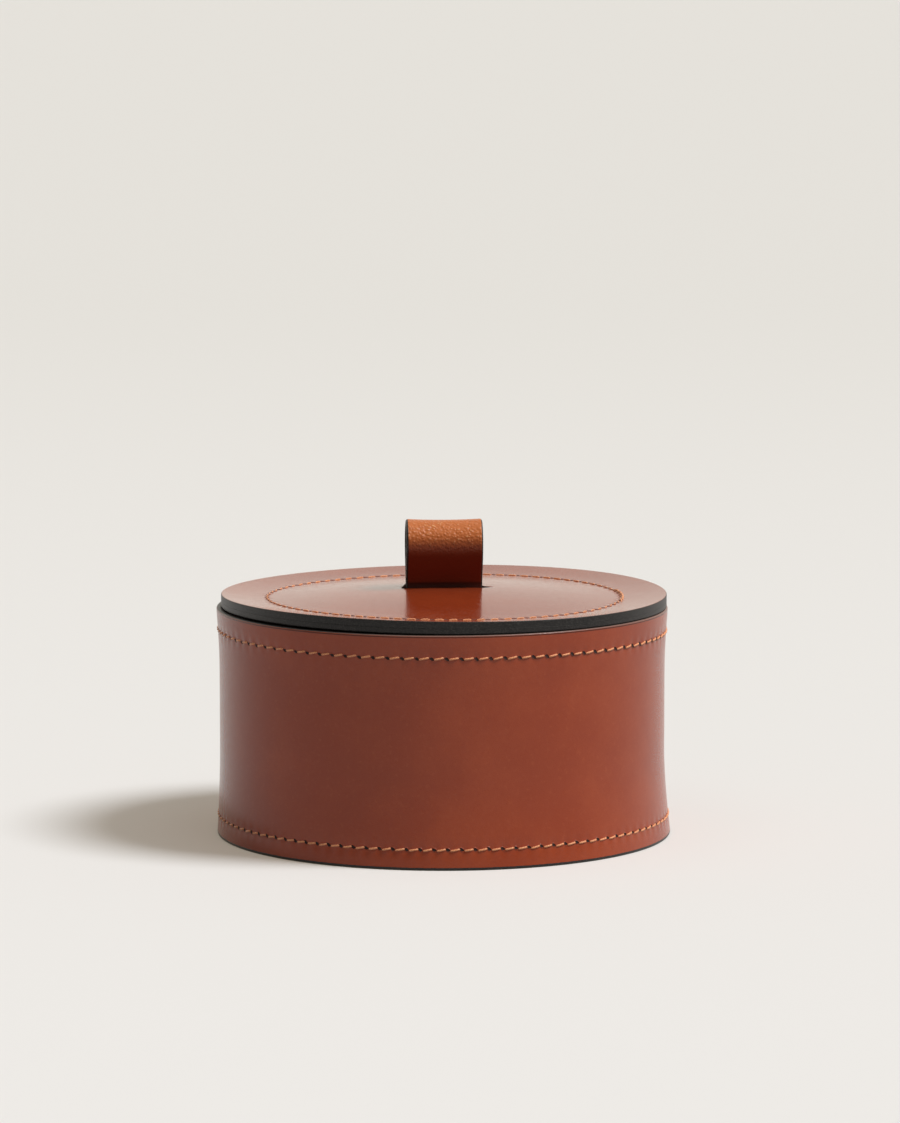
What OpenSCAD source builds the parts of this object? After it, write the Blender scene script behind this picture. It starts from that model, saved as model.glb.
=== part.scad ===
// Round leather collar box with a lift-off lid and a looped pull tab.
// Millimetres, +Z up. The origin is the centre of the foot, on the surface that the box stands on.
// The front is at -Y, the back seam at +Y, and the lid lifts along Z.

/* [Wall] */
// Outer diameter at the waist, the slimmest part of the wall
waist_d = 148; // [124:1:180]
// Height of the wall, from foot to rim
wall_h = 75.8; // [68:0.2:110]
// Thickness of the wall leather
wall_t = 3; // [2.4:0.1:3.6]
// How far the foot stands out beyond the waist, on the radius
foot_flare = 2.2; // [0.6:0.1:2.8]
// Height over which the foot spreads
foot_flare_h = 28; // [22:1:32]
// How far the rim stands out beyond the waist, on the radius
rim_flare = 1.2; // [0.4:0.1:2]
// Depth below the rim over which the rim spreads
rim_flare_h = 22; // [18:1:28]
// Radius of the rounded, painted edges
edge_r = 0.6; // [0.3:0.1:0.9]
// Width of the line where the two ends of the wall meet at the back
butt_gap = 0.3; // [0.2:0.1:0.6]

/* [Rim band] */
// Height of the band that stiffens the rim from inside
band_h = 14; // [11:0.5:20]
// Thickness of the rim band
band_t = 2.4; // [1.8:0.1:3]

/* [Back seam] */
// Width of the strip that backs the seam
strip_w = 22; // [18:1:30]
// Thickness of the seam strip
strip_t = 1.2; // [0.8:0.1:1.6]
// Gap between the seam strip and the pieces above and below it
strip_gap = 0.3; // [0.2:0.1:0.8]
// Distance of each row of stitches from the butt line
row_x = 5; // [3:0.5:7]

/* [Base] */
// Thickness of the moulded base leather
base_t = 2.6; // [2:0.1:3.2]
// Outer radius of the base's moulded corner
base_corner = 5; // [4:0.5:7]
// Flat left on the flange between the foot seam and the moulded corner
flange_margin = 1.2; // [0.8:0.1:3]
// Thickness of the base lining
lining_t = 1.2; // [0.8:0.1:2.5]
// Gap round the base lining
lining_gap = 0.3; // [0.2:0.1:0.8]

/* [Lid] */
// How far the lid's edge stays inside the rim's outer edge, on the radius
lid_setback = 1.2; // [0.6:0.1:2]
// Thickness of the lid's top leather
top_t = 2.2; // [1.8:0.1:3]
// Thickness of the lid's backing leather
backing_t = 2.1; // [1.6:0.1:3]
// Thickness of the disc that locates the lid in the rim
locator_t = 3; // [2.4:0.1:4]
// Radial play of the locating disc in the rim band
lid_play = 0.9; // [0.6:0.1:1.4]
// Gap left on the side to which the lid has slid across its play
lean_gap = 0.3; // [0.3:0.1:0.6]
// Level part of the lid's raised middle beyond the corners of the tab's tails
level_margin = 2.2; // [1:0.2:4]
// Width of the slope round the raised middle
slope_w = 25; // [16:1:28]

/* [Pull tab] */
// Width of the strap
strap_w = 25.4; // [20:0.2:30]
// Thickness of the strap
strap_t = 2.2; // [1.8:0.1:2.6]
// Height of the loop above the lid's raised middle
loop_h = 22.2; // [18:0.2:30]
// Radius of the top of the loop, on the strap's middle line
loop_r = 6.6; // [5.5:0.1:8]
// Length of each tail that lies under the lid
tail_l = 18; // [12:0.5:20]
// Inside radius of the bend from leg to tail
bend_r = 0.7; // [0.5:0.1:1.2]
// Gap between the two legs in the slit
leg_gap = 0.3; // [0.2:0.1:0.6]
// Gap between a leg and the side of the slit
slit_gap = 0.2; // [0.2:0.1:0.5]
// How far the slit runs past each side of the strap
slit_end = 2; // [1:0.5:4]

/* [Stitching] */
// Diameter of the thread
thread_d = 0.65; // [0.5:0.05:0.9]
// Length of one stitch
stitch_l = 3.3; // [2.4:0.1:3.6]
// Pitch of the rim and back seams
rim_pitch = 4.75; // [4:0.05:6]
// Pitch of the foot seam
foot_pitch = 4.45; // [4:0.05:6]
// Pitch of the lid seam
lid_pitch = 4.5; // [4:0.05:6]
// Slope of each stitch across its seam, in degrees
stitch_slope = 12; // [0:0.5:14]
// Distance of the rim seam below the rim
rim_inset = 7.2; // [5.5:0.1:8]
// Distance of the foot seam above the foot
foot_inset = 6.6; // [5:0.1:8]
// Distance of the lid seam from the edge of the locating disc
lid_inset = 9.7; // [5:0.1:12]

/* [Hidden] */
$fn = 96;
// Glue line between bonded layers, and clearance under the thread
glue = 0.1;
thread_gap = 0.08;
// How sharply the foot and the rim curve out
foot_power = 1.6;
rim_power = 2;
// Steps in each flare, slope, rounded edge, leg and loop
flare_steps = 8;
slope_steps = 12;
round_steps = 4;
leg_steps = 12;
loop_steps = 16;
// Least height of a step in a layer's side, and least distance between an outline's points
least_step = 0.2;
least_gap = 0.001;
// Length of the cutting tools beyond what they cut
over = 5;

rim_seam_z = wall_h - rim_inset;
flange_z = foot_inset + thread_d / 2 + flange_margin;
base_z = flange_z + base_corner;
lining_z = base_z + lining_t;
strip_z0 = lining_z + strip_gap;
strip_z1 = wall_h - band_h - strip_gap;
inside_off = wall_t + glue;
band_in_off = inside_off + band_t;
flange_in_off = inside_off + base_t;
strip_in_off = inside_off + strip_t;

lid_x = lid_play - lean_gap;
lid_r = wall_r(wall_h) - lid_setback;
locator_z = wall_h - locator_t;
locator_r = wall_r(locator_z) - band_in_off - lid_play;
lid_seam_r = locator_r - lid_inset;
top_z = wall_h + backing_t + glue;
lid_z = top_z + top_t;
raise = strap_t + glue;

leg_mid = (leg_gap + strap_t) / 2;
leg_out = leg_gap / 2 + strap_t;
bend_mid = bend_r + strap_t / 2;
tail_z = wall_h + (glue + strap_t) / 2;
tail_end = leg_mid + bend_mid + tail_l;
level_r = norm([strap_w / 2, tail_end]) + level_margin;
loop_z0 = lid_z + raise;
loop_z1 = loop_z0 + loop_h - strap_t / 2 - loop_r;

bridle = [0.60, 0.29, 0.17];
flesh = [0.66, 0.47, 0.32];
painted = [0.09, 0.08, 0.08];
suede = [0.45, 0.30, 0.20];
linen = [0.85, 0.53, 0.30];

// Outer radius of the wall at height z: a straight waist with a spread foot and a spread rim
function wall_r(z) = waist_d / 2
    + foot_flare * pow(max(0, 1 - z / foot_flare_h), foot_power)
    + rim_flare * pow(max(0, 1 - (wall_h - z) / rim_flare_h), rim_power);

// One side of a layer as [r, z], from height a up to height b, at a distance off in from the wall's outside
flare_z = concat(
    [for (k = [0 : flare_steps]) foot_flare_h * k / flare_steps],
    [for (k = [0 : flare_steps]) wall_h - rim_flare_h * (1 - k / flare_steps)]);
function heights(a, b) = concat(
    [a], [for (z = flare_z) if (z > a + least_step && z < b - least_step) z], [b]);
function side(a, b, off) = [for (z = heights(a, b)) [wall_r(z) - off, z]];
function backward(p) = [for (i = [len(p) - 1 : -1 : 0]) p[i]];

// Round of radius r about [x, z], from angle a to angle b
function arc(x, z, r, a, b, steps = round_steps) = [for (k = [0 : steps])
    let (t = a + (b - a) * k / steps) [x + r * cos(t), z + r * sin(t)]];

// Stretches joined into one outline, with no point twice
function joined(p) = [for (i = [0 : len(p) - 1]) if (i == 0 || norm(p[i] - p[i - 1]) > least_gap) p[i]];

// Height of the lid's raised middle at radius r, and the lid's profile there from the axis outward
function rise(r) = raise * (1 + cos(180 * min(max((r - level_r) / slope_w, 0), 1))) / 2;
slope_x = concat([0], [for (k = [0 : slope_steps]) level_r + slope_w * k / slope_steps]);
function domed(z) = [for (r = slope_x) [r, z + rise(r)]];

// Wall

module side_wall() {
    outer = joined(concat(
        arc(wall_r(edge_r) - edge_r, edge_r, edge_r, -90, 0),
        side(edge_r, wall_h - edge_r, 0),
        arc(wall_r(wall_h - edge_r) - edge_r, wall_h - edge_r, edge_r, 0, 90)));
    color(bridle) difference() {
        rotate_extrude() polygon(concat(outer, backward(side(0, wall_h, wall_t))));
        translate([-butt_gap / 2, 0, -over]) cube([butt_gap, waist_d, wall_h + 2 * over]);
    }
}

module rim_band() {
    edge_z = wall_h - edge_r;
    inner = joined(concat(
        side(wall_h - band_h, edge_z, band_in_off),
        arc(wall_r(edge_z) - band_in_off + edge_r, edge_z, edge_r, 180, 90)));
    color(bridle) rotate_extrude()
        polygon(concat(side(wall_h - band_h, wall_h, inside_off), backward(inner)));
}

module seam_strip() {
    color(flesh) intersection() {
        rotate_extrude() polygon(concat(
            side(strip_z0, strip_z1, inside_off),
            backward(side(strip_z0, strip_z1, strip_in_off))));
        translate([-strip_w / 2, 0, 0]) cube([strip_w, waist_d, wall_h]);
    }
}

// Base

module base_cup() {
    corner_x = wall_r(flange_z) - inside_off - base_corner;
    outer = joined(concat(
        side(0, flange_z, inside_off),
        arc(corner_x, flange_z, base_corner, 0, 90)));
    inner = joined(concat(
        arc(wall_r(edge_r) - flange_in_off + edge_r, edge_r, edge_r, 270, 180),
        side(edge_r, flange_z, flange_in_off),
        arc(corner_x, flange_z, base_corner - base_t, 0, 90)));
    color(bridle) rotate_extrude()
        polygon(concat(outer, [[0, base_z], [0, base_z - base_t]], backward(inner)));
}

module base_lining() {
    color(suede) translate([0, 0, base_z])
        cylinder(r = wall_r(lining_z) - wall_t - lining_gap, h = lining_t);
}

// Lid, each piece round the lid's own axis

module on_lid() {
    translate([lid_x, 0, 0]) children();
}

module slit(half_w) {
    translate([-strap_w / 2 - slit_end, -half_w, wall_h - over])
        cube([strap_w + 2 * slit_end, 2 * half_w, loop_z0 - wall_h + 2 * over]);
}

module lid_top() {
    color(bridle) on_lid() difference() {
        rotate_extrude() polygon(concat(
            domed(lid_z),
            arc(lid_r - edge_r, lid_z - edge_r, edge_r, 90, 0),
            [[lid_r, top_z]],
            backward(domed(top_z))));
        slit(leg_out + slit_gap);
    }
}

module lid_backing() {
    z1 = wall_h + backing_t;
    color(painted) on_lid() difference() {
        rotate_extrude() polygon(concat(
            domed(wall_h),
            arc(lid_r - edge_r, wall_h + edge_r, edge_r, -90, 0),
            [[lid_r, z1]],
            backward(domed(z1))));
        slit(leg_out + bend_r);
    }
}

module lid_locator() {
    color(bridle) on_lid() rotate_extrude() polygon(concat(
        [[0, locator_z]],
        arc(locator_r - edge_r, locator_z + edge_r, edge_r, -90, 0),
        [[locator_r, wall_h], [0, wall_h]]));
}

// Pull tab: one strap that comes up through the slit, goes round the loop and down again, with a
// tail each way under the lid. Its middle line is [y, z], from one tail's end over the loop to the other.

bend_line = arc(leg_mid + bend_mid, tail_z + bend_mid, bend_mid, 270, 180);
leg_line = [for (k = [0 : leg_steps - 1]) let (s = k / leg_steps)
    [leg_mid + (loop_r - leg_mid) * (1 - cos(180 * s)) / 2, loop_z0 + (loop_z1 - loop_z0) * s]];
half_line = concat([[tail_end, tail_z]], bend_line, leg_line, arc(0, loop_z1, loop_r, 0, 90, loop_steps));
tab_line = joined(concat(half_line, [for (p = backward(half_line)) [-p[0], p[1]]]));

// The strap's face at a distance d from its middle line
function heading(p, i) = let (v = p[min(i + 1, len(p) - 1)] - p[max(i - 1, 0)]) v / norm(v);
function strap_face(p, d) = [for (i = [0 : len(p) - 1]) let (h = heading(p, i)) p[i] + d * [h[1], -h[0]]];

module pull_tab() {
    color(bridle) on_lid() rotate([90, 0, 90])
        linear_extrude(height = strap_w, center = true)
            polygon(concat(strap_face(tab_line, strap_t / 2), backward(strap_face(tab_line, -strap_t / 2))));
}

// Stitching: each seam shows a row of stitches on both faces of the leather

// One stitch along Y, resting on a face at x = 0 whose outside is towards +X
module stitch() {
    translate([thread_gap + thread_d / 2, 0, 0]) rotate([90, 0, 0])
        cylinder(d = thread_d, h = stitch_l, center = true, $fn = 16);
}

// A row round a wall of radius r at height z; out is 1 on its outer face and -1 on its inner face
module ring_row(r, z, count, out) {
    for (i = [0 : count - 1])
        rotate([0, 0, (i + 0.5) * 360 / count]) translate([r, 0, z])
            rotate([out * stitch_slope, 0, out > 0 ? 0 : 180]) stitch();
}

module rim_stitching() {
    r = wall_r(rim_seam_z);
    count = floor(2 * PI * r / rim_pitch);
    color(linen) {
        ring_row(r, rim_seam_z, count, 1);
        ring_row(r - band_in_off, rim_seam_z, count, -1);
    }
}

module foot_stitching() {
    r = wall_r(foot_inset);
    count = floor(2 * PI * r / foot_pitch);
    color(linen) {
        ring_row(r, foot_inset, count, 1);
        ring_row(r - flange_in_off, foot_inset, count, -1);
    }
}

// An upright row at x on the back of the box, on the face that is off in from the wall's outside
module upright_row(x, off, out) {
    run = strip_z1 - strip_z0 - 2 * stitch_l;
    count = floor(run / rim_pitch);
    for (i = [0 : count - 1]) {
        z0 = strip_z0 + stitch_l / 2 + (i + 0.5) * run / count;
        low = wall_r(z0) - off;
        high = wall_r(z0 + stitch_l) - off;
        lean = atan((low - high) / stitch_l);
        rotate([0, 0, acos(x / low)]) translate([(low + high) / 2, 0, z0 + stitch_l / 2])
            rotate([0, -out * lean, out > 0 ? 0 : 180]) rotate([90, 0, 0]) stitch();
    }
}

module back_stitching() {
    color(linen) for (x = [-row_x, row_x]) {
        upright_row(x, 0, 1);
        upright_row(x, strip_in_off, -1);
    }
}

module lid_stitching() {
    count = floor(2 * PI * lid_seam_r / lid_pitch);
    color(linen) on_lid() for (i = [0 : count - 1], up = [1, -1])
        rotate([0, 0, (i + 0.5) * 360 / count]) translate([lid_seam_r, 0, up > 0 ? lid_z : locator_z])
            rotate([0, -90 * up, 0]) rotate([up * stitch_slope, 0, 0]) stitch();
}

side_wall();
rim_band();
seam_strip();
base_cup();
base_lining();
rim_stitching();
foot_stitching();
back_stitching();
lid_top();
lid_backing();
lid_locator();
pull_tab();
lid_stitching();
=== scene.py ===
import math

import bmesh
import bpy
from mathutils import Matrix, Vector


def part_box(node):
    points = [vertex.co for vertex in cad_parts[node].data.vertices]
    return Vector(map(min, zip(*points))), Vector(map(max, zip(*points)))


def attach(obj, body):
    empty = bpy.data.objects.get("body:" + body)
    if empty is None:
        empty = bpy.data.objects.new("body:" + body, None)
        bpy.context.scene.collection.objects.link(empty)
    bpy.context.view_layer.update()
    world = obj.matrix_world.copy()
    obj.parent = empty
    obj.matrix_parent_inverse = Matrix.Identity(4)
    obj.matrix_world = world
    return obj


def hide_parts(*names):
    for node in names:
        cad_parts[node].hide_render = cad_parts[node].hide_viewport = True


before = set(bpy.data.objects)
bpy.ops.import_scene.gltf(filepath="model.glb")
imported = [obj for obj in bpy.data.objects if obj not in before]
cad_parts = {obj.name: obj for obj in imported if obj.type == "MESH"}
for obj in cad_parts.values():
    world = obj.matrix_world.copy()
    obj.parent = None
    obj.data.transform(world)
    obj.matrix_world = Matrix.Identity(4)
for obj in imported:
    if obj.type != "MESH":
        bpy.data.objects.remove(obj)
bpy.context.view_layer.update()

# Collar box: turned leather wall and lid, folded pull tab, saddle stitching.
# Sizes in the dictionaries are millimetres unless a note says otherwise; mm turns them into metres.

mm = 0.001
scene = bpy.context.scene


# Colours

def shade(red, green, blue):  # a colour as seen on screen, 0 to 255, as the linear colour that Blender wants
    def linear(c):
        c = c / 255
        return c / 12.92 if c <= 0.04045 else ((c + 0.055) / 1.055) ** 2.4
    return (linear(red), linear(green), linear(blue), 1.0)


# Node helpers, for geometry and material trees alike

def socketNamed(sockets, name):
    return next(s for s in sockets if s.enabled and s.name == name) if isinstance(name, str) else sockets[name]


def addNode(tree, kind, sockets=None, **settings):
    made = tree.nodes.new(kind)
    for name, value in settings.items():
        setattr(made, name, value)
    for name, value in (sockets or {}).items():
        socket = socketNamed(made.inputs, name)
        if isinstance(value, Wire):
            value = value.socket
        if isinstance(value, bpy.types.NodeSocket):
            tree.links.new(value, socket)
        else:
            socket.default_value = value
    return made


class Wire:  # a node's output that can be used in sums
    def __init__(self, tree, socket):
        self.tree = tree
        self.socket = socket

    def maths(self, operation, *others, clamp=False):
        values = dict(enumerate((self,) + others))
        made = addNode(self.tree, "ShaderNodeMath", values, operation=operation, use_clamp=clamp)
        return Wire(self.tree, made.outputs[0])

    def __add__(self, other):
        return self.maths("ADD", other)

    def __sub__(self, other):
        return self.maths("SUBTRACT", other)

    def __mul__(self, other):
        return self.maths("MULTIPLY", other)

    def __truediv__(self, other):
        return self.maths("DIVIDE", other)

    __radd__ = __add__
    __rmul__ = __mul__

    def squared(self):
        return self * self

    def bell(self):  # 1 at zero, falling to nothing on both sides
        return (self.squared() * -1).maths("EXPONENT")

    def step(self, low, high):  # 0 below low, 1 above high, smooth between
        sockets = {"Value": self, "From Min": low, "From Max": high}
        made = addNode(self.tree, "ShaderNodeMapRange", sockets, interpolation_type="SMOOTHSTEP")
        return Wire(self.tree, made.outputs[0])

    def between(self, low, high):  # 0..1 spread over low..high
        made = addNode(self.tree, "ShaderNodeMapRange", {"Value": self, "To Min": low, "To Max": high})
        return Wire(self.tree, made.outputs[0])


def newTree(name, inputs):
    tree = bpy.data.node_groups.new(name, "GeometryNodeTree")
    tree.is_modifier = True
    tree.interface.new_socket("Geometry", in_out="INPUT", socket_type="NodeSocketGeometry")
    for label, kind in inputs.items():
        tree.interface.new_socket(label, in_out="INPUT", socket_type="NodeSocket" + kind)
    tree.interface.new_socket("Geometry", in_out="OUTPUT", socket_type="NodeSocketGeometry")
    source = tree.nodes.new("NodeGroupInput")
    wires = {s.name: Wire(tree, s) for s in source.outputs if s.name}
    return tree, wires, tree.nodes.new("NodeGroupOutput")


def endTree(tree, geometry, material, output):  # real geometry, smooth, in one material
    real = addNode(tree, "GeometryNodeRealizeInstances", {"Geometry": geometry})
    smooth = addNode(tree, "GeometryNodeSetShadeSmooth", {"Geometry": real.outputs[0]})
    painted = addNode(tree, "GeometryNodeSetMaterial", {"Geometry": smooth.outputs[0], "Material": material})
    tree.links.new(painted.outputs[0], output.inputs[0])


def polyline(name, points, closed=False):  # points in metres
    mesh = bpy.data.meshes.new(name)
    count = len(points)
    edges = [(i, (i + 1) % count) for i in range(count if closed else count - 1)]
    mesh.from_pydata(points, edges, [])
    made = bpy.data.objects.new(name, mesh)
    scene.collection.objects.link(made)
    return made


def bake(source, name, tree, settings):  # runs the tree on source and leaves a plain mesh
    modifier = source.modifiers.new(tree.name, "NODES")
    modifier.node_group = tree
    named = {item.name: item.identifier for item in tree.interface.items_tree if item.in_out == "INPUT"}
    for label, value in settings.items():
        modifier[named[label]] = value
    source.update_tag()
    graph = bpy.context.evaluated_depsgraph_get()
    mesh = bpy.data.meshes.new_from_object(source.evaluated_get(graph))
    bpy.data.objects.remove(source)
    made = bpy.data.objects.new(name, mesh)
    scene.collection.objects.link(made)
    return made


def tidyMesh(piece, merge=0.002 * mm, fill=False):  # one closed skin with its faces outward
    work = bmesh.new()
    work.from_mesh(piece.data)
    bmesh.ops.remove_doubles(work, verts=work.verts, dist=merge)
    if fill:
        bmesh.ops.holes_fill(work, edges=[e for e in work.edges if e.is_boundary], sides=0)
    bmesh.ops.recalc_face_normals(work, faces=work.faces)
    work.to_mesh(piece.data)
    work.free()
    for face in piece.data.polygons:
        face.use_smooth = True


def finishPiece(piece, body, slotName, *nodes):
    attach(piece, body)
    if nodes:
        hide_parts(*nodes)
    print("made", piece.name, len(piece.data.polygons), "faces")


# Camera, at the photograph's viewing angle

camera = {
    "distance": 1697.3,
    "height": 299.1,
    "aside": 2.64,
    "pitch": 7.009,  # degrees down
    "turn": -3.0,  # degrees about the box's axis, so that the tab's left side shows
    "focal": 5149.6,  # in the photograph's pixels
    "imageHeight": 1123,
    "sensor": 36.0,
}


def makeCamera(c):
    data = bpy.data.cameras.new("camera")
    data.sensor_width = c["sensor"]
    data.lens = c["focal"] * c["sensor"] / c["imageHeight"]
    data.clip_end = 100
    made = bpy.data.objects.new("camera", data)
    turn = math.radians(c["turn"])
    x = c["aside"] * math.cos(turn) + c["distance"] * math.sin(turn)
    y = c["aside"] * math.sin(turn) - c["distance"] * math.cos(turn)
    made.location = (x * mm, y * mm, c["height"] * mm)
    made.rotation_euler = (math.radians(90 - c["pitch"]), 0, turn)
    scene.collection.objects.link(made)
    scene.camera = made


makeCamera(camera)
print("camera set")


# Materials

def newMaterial(name):
    material = bpy.data.materials.new(name)
    material.use_nodes = True
    tree = material.node_tree
    tree.nodes.clear()
    output = tree.nodes.new("ShaderNodeOutputMaterial")
    place = addNode(tree, "ShaderNodeTexCoord")
    return material, tree, output, place.outputs["Object"]


def noise(tree, place, size, detail=2.0, roughness=0.5, stretch=None):  # size in mm
    if stretch:
        place = addNode(tree, "ShaderNodeMapping", {"Vector": place, "Scale": stretch}).outputs[0]
    sockets = {"Vector": place, "Scale": 1 / (size * mm), "Detail": detail, "Roughness": roughness}
    return Wire(tree, addNode(tree, "ShaderNodeTexNoise", sockets).outputs[0])


def cells(tree, place, size, feature="F1"):
    sockets = {"Vector": place, "Scale": 1 / (size * mm)}
    made = addNode(tree, "ShaderNodeTexVoronoi", sockets, feature=feature)
    return Wire(tree, made.outputs["Distance"])


def blend(tree, amount, first, second, mode="MIX"):
    made = addNode(tree, "ShaderNodeMix", {0: amount, 6: first, 7: second}, data_type="RGBA", blend_type=mode)
    return made.outputs[2]


def bump(tree, height, depth, normal=None):  # depth in mm
    sockets = {"Height": height, "Distance": depth * mm, "Strength": 1.0}
    if normal is not None:
        sockets["Normal"] = normal
    return addNode(tree, "ShaderNodeBump", sockets).outputs[0]


leatherLook = {
    "base": shade(160, 69, 38),
    "deep": shade(152, 62, 33),
    "pale": shade(170, 78, 45),
    "pit": shade(122, 44, 22),
    "paint": shade(27, 25, 24),
    "fleckedPaint": shade(80, 76, 73),
    # pale line on the rim's corner: partly rubbed paint, partly painted highlight
    "wornPaintHighlight": shade(124, 92, 82),
    "cloud": 22.0,
    "fleck": 1.3,
    "grain": 0.55,
    "pore": 0.42,
    "grainDepth": 0.010,
    "poreDepth": 0.018,
}


def paintedEdge(tree, place, zones):  # 1 where the black edge paint lies; zones are heights and radii in mm
    x, y, z = (Wire(tree, s) for s in addNode(tree, "ShaderNodeSeparateXYZ", {0: place}).outputs)
    wobble = (noise(tree, place, 1.6, 3) - 0.5) * (zones.get("wobble", 0.25) * mm)
    amount = None
    for rule in zones["rules"]:
        axis = {"x": x - zones.get("centre", 0) * mm, "y": y, "z": z}.get(rule[0])
        if rule[0] == "r":
            axis = ((x - zones.get("centre", 0) * mm).squared() + y.squared()).maths("SQRT")
        if rule[0] == "x":
            axis = axis.maths("ABSOLUTE")
        edge = rule[2] * mm
        soft = 0.06 * mm
        part = (axis + wobble).step(edge - soft, edge + soft)
        if rule[1] == "under":
            part = part * -1 + 1
        if rule[-1] == "and":
            amount = amount * part
        else:
            amount = part if amount is None else amount.maths("MAXIMUM", part)
    return amount


def makeLeather(name, look, roughness, zones=None, streak=0.0, pebble=None, shadeTone=1.0, ior=1.36):
    material, tree, output, place = newMaterial(name)
    cloud = noise(tree, place, look["cloud"], 4, 0.55)
    fleck = noise(tree, place, look["fleck"], 3, 0.6)
    grain = noise(tree, place, look["grain"], 2, 0.5)
    pores = cells(tree, place, look["pore"]).step(0.10, 0.42)
    colour = blend(tree, cloud.step(0.35, 0.70), look["deep"], look["base"])
    colour = blend(tree, fleck.step(0.52, 0.80) * 0.45, colour, look["pale"])
    colour = blend(tree, fleck.step(0.48, 0.25) * 0.35, colour, look["deep"])
    colour = blend(tree, pores.between(0.25, 0.0), colour, look["pit"])
    # the tone darkens the whole colour: painted shade for a face that gets more light than the wall
    if shadeTone != 1.0:
        colour = blend(tree, 1.0, colour, (shadeTone, shadeTone * 0.92, shadeTone * 0.85, 1), "MULTIPLY")
    gloss = cloud.between(-0.05, 0.05) + grain.between(-0.05, 0.05) + roughness
    height = grain * look["grainDepth"] + pores * look["poreDepth"]
    if pebble:  # the strap's skin creases where it bends
        z = Wire(tree, addNode(tree, "ShaderNodeSeparateXYZ", {0: place}).outputs[2])
        bent = z.step(pebble["low"] * mm, pebble["high"] * mm)
        crease = cells(tree, place, pebble["size"], "SMOOTH_F1")
        wrinkle = noise(tree, place, pebble["wrinkle"], 3, 0.6, (0.45, 1, 1)) * pebble["wrinkleDepth"]
        height = height + bent * (crease * -pebble["depth"] + wrinkle)
        # lighter and more orange over the bend: partly the stretched leather, partly painted light on the top that
        # faces the light
        colour = blend(tree, bent * pebble["lift"], colour, pebble["pale"])
        # painted highlights: pale spots on the pebbles' tops, in patches over the bend
        paintedHighlight = noise(tree, place, pebble["size"] * 3, 2).step(0.42, 0.62)
        colour = blend(tree, bent * paintedHighlight * crease.step(0.30, 0.12) * pebble["spots"], colour, pebble["paintedHighlight"])
        # painted shade: darker down the strap's front below the loop's top, where the loop overhangs it
        loopShade = z.step(pebble["loopShade"] * mm, (pebble["loopShade"] - 5.8) * mm)
        colour = blend(tree, loopShade * 0.8, colour, pebble["dark"])
        # painted shade: near-black along the strap's foot, where it goes down into the slit
        footShade = z.step(pebble["foot"] * mm, (pebble["foot"] - 0.9) * mm)
        colour = blend(tree, footShade * 0.8, colour, shade(40, 12, 8))
    if streak:
        brushed = noise(tree, place, 2.2, 3, 0.6, (0.06, 1, 1))
        height = height + brushed * streak
        gloss = gloss + brushed.between(-0.04, 0.04)
    if zones:
        paint = paintedEdge(tree, place, zones)
        speckle = noise(tree, place, 0.35, 2)
        black = blend(tree, speckle.step(0.45, 0.66) * 0.42, look["paint"], look["fleckedPaint"])
        colour = blend(tree, paint, colour, black)
        for kind, tint in (("paintedHighlight", look["wornPaintHighlight"]), ("dark", shade(62, 24, 15))):
            if kind in zones:
                part = paintedEdge(tree, place, {"wobble": 0.1, "rules": zones[kind]})
                if kind == "paintedHighlight":  # partly rubbed paint, partly painted highlight: pale at the front and right, where the key light falls, still black at the left
                    across = Wire(tree, addNode(tree, "ShaderNodeSeparateXYZ", {0: place}).outputs[0])
                    part = part * across.step(-55 * mm, -5 * mm)
                colour = blend(tree, part * 0.85, colour, tint)
        gloss = gloss * (paint * -1 + 1) + paint * (speckle * 0.25 + 0.30)
        height = height * (paint * -0.4 + 1) + paint * speckle * 0.04
    shader = addNode(tree, "ShaderNodeBsdfPrincipled", {
        "Base Color": colour, "Roughness": gloss, "IOR": ior, "Normal": bump(tree, height, 1.0),
    })
    tree.links.new(shader.outputs[0], output.inputs[0])
    return material


fleshLook = {"base": shade(176, 128, 88), "deep": shade(140, 94, 58), "fibre": 0.8, "depth": 0.06}


def makeFlesh(name, look, roughness=0.85):  # the fibrous inner side of the hide, and suede
    material, tree, output, place = newMaterial(name)
    fibre = noise(tree, place, look["fibre"], 5, 0.7)
    patch = noise(tree, place, 14.0, 3, 0.5)
    colour = blend(tree, (fibre * 0.6 + patch * 0.4).step(0.35, 0.65), look["deep"], look["base"])
    shader = addNode(tree, "ShaderNodeBsdfPrincipled", {
        "Base Color": colour, "Roughness": roughness, "IOR": 1.4, "Normal": bump(tree, fibre, look["depth"]),
    })
    shader.inputs["Sheen Weight"].default_value = 0.25
    tree.links.new(shader.outputs[0], output.inputs[0])
    return material


threadLook = {"base": shade(246, 178, 130), "deep": shade(200, 116, 68), "twist": 0.9, "depth": 0.05}


def makeThread(name, look):
    material, tree, output, place = newMaterial(name)
    along = Wire(tree, addNode(tree, "ShaderNodeAttribute", attribute_name="along").outputs["Fac"])
    around = Wire(tree, addNode(tree, "ShaderNodeAttribute", attribute_name="around").outputs["Fac"])
    ply = ((along / (look["twist"] * mm) + around * 2) * math.tau).maths("SINE") * 0.5 + 0.5
    fuzz = noise(tree, place, 0.25, 3, 0.6)
    colour = blend(tree, ply * 0.55 + fuzz * 0.45, look["deep"], look["base"])
    shader = addNode(tree, "ShaderNodeBsdfPrincipled", {
        "Base Color": colour, "Roughness": 0.42, "IOR": 1.42,
        "Normal": bump(tree, ply * 0.7 + fuzz * 0.3, look["depth"]),
    })
    tree.links.new(shader.outputs[0], output.inputs[0])
    return material


# near-black brown: painted shade for the dark inside of the awl slits and the lid's slit, also used on the strap's
# shoulder
def makeSlitDark(name):
    material, tree, output, place = newMaterial(name)
    colour = blend(tree, noise(tree, place, 0.3), shade(20, 9, 7), shade(52, 20, 13))
    shader = addNode(tree, "ShaderNodeBsdfPrincipled", {"Base Color": colour, "Roughness": 0.9})
    tree.links.new(shader.outputs[0], output.inputs[0])
    return material


# The wall's shape, which everything else follows

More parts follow.
